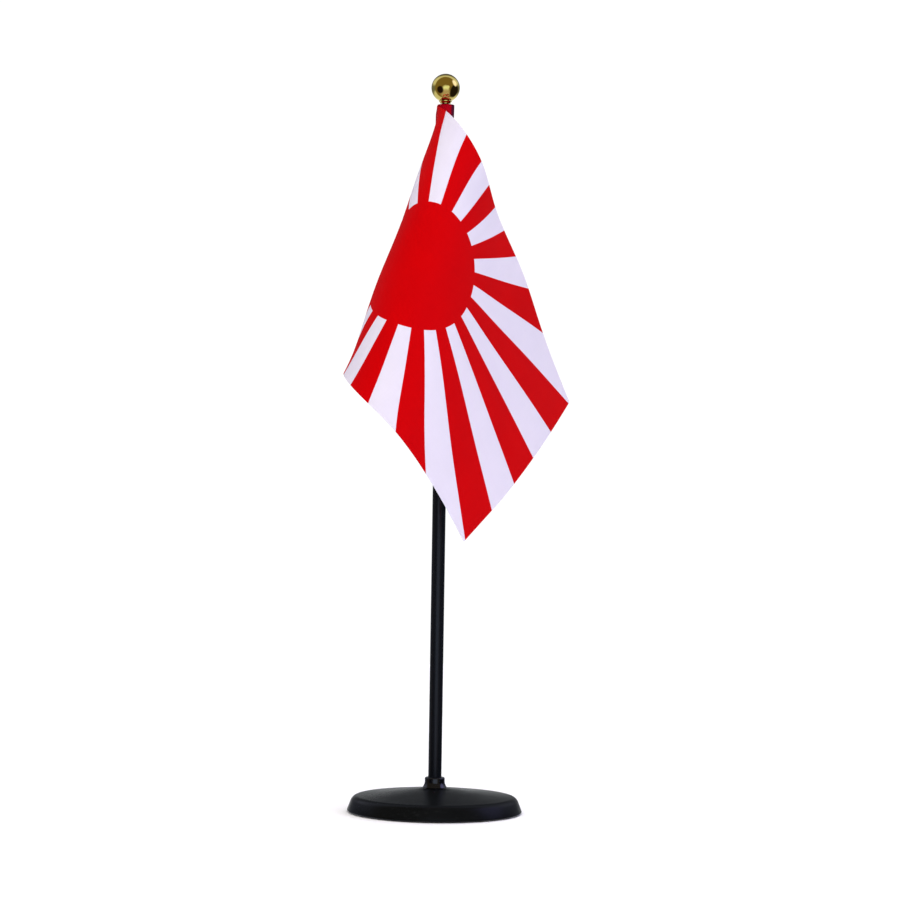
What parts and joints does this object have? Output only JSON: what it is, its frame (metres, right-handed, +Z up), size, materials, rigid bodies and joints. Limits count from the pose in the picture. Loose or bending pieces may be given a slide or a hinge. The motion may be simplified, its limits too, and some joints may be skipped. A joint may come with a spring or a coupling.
{
  "type": "desk flag stand",
  "caption": "Small flag on an upright pole with a ball finial, pushed into the collar of a heavy round dome base, for display on a desk or table.",
  "frame": {"origin": "on the pole's axis, at the level of the surface that the stand's sole rests on", "axes": "+Z up along the pole; the flag's seam is on the -X side of the pole, the flag's face is seen from -Y, and its free edge trails towards +X"},
  "size_m": [0.1387, 0.1437, 0.4413],
  "materials": {
    "cover_plastic": "satin moulded black",
    "collar_plastic": "glossy black",
    "weight_steel": "zinc plated",
    "fastener_steel": "zinc plated",
    "pad_foam": "fine-celled foam",
    "pole_paint": "glossy black",
    "insert_brass": "turned",
    "gold_plate": "polished gold plate",
    "flag_fabric": "red rays and disc on white, woven polyester"
  },
  "bodies": {
    "base": {"base_cover": "cover_plastic", "base_weight": "weight_steel", "base_plate": "cover_plastic", "base_pad": "pad_foam", "base_screw_1": "fastener_steel", "base_screw_2": "fastener_steel", "base_screw_3": "fastener_steel", "pole_socket": "collar_plastic", "socket_washer": "fastener_steel", "socket_nut": "fastener_steel"},
    "pole": {"pole_tube": "pole_paint", "pole_foot_plug": "cover_plastic", "pole_top_insert": "insert_brass"},
    "flag": {"flag_sleeve": "flag_fabric", "flag_cloth": "flag_fabric"},
    "ferrule": {"finial_neck": "gold_plate"},
    "finial": {"finial_stud": "fastener_steel", "finial_ball": "gold_plate"}
  },
  "joints": [
    {"name": "pole_lift", "type": "slide", "parent": "base", "child": "pole", "axis": [0, 0, 1], "range_m": [0, 0.016]},
    {"name": "flag_swivel", "type": "hinge", "parent": "pole", "child": "flag", "pos_m": [0, 0, 0.3], "axis": [0, 0, 1], "continuous": true},
    {"name": "finial_rise", "type": "slide", "parent": "pole", "child": "ferrule", "axis": [0, 0, 1], "range_m": [0, 0.0091]},
    {"name": "finial_unscrew", "type": "hinge", "parent": "ferrule", "child": "finial", "pos_m": [0, 0, 0.4328], "axis": [0, 0, 1], "range_deg": [0, 4500]}
  ],
  "couplings": [
    {"joint": "finial_rise", "follows": "finial_unscrew", "m_per_rad": 0.00011141}
  ]
}
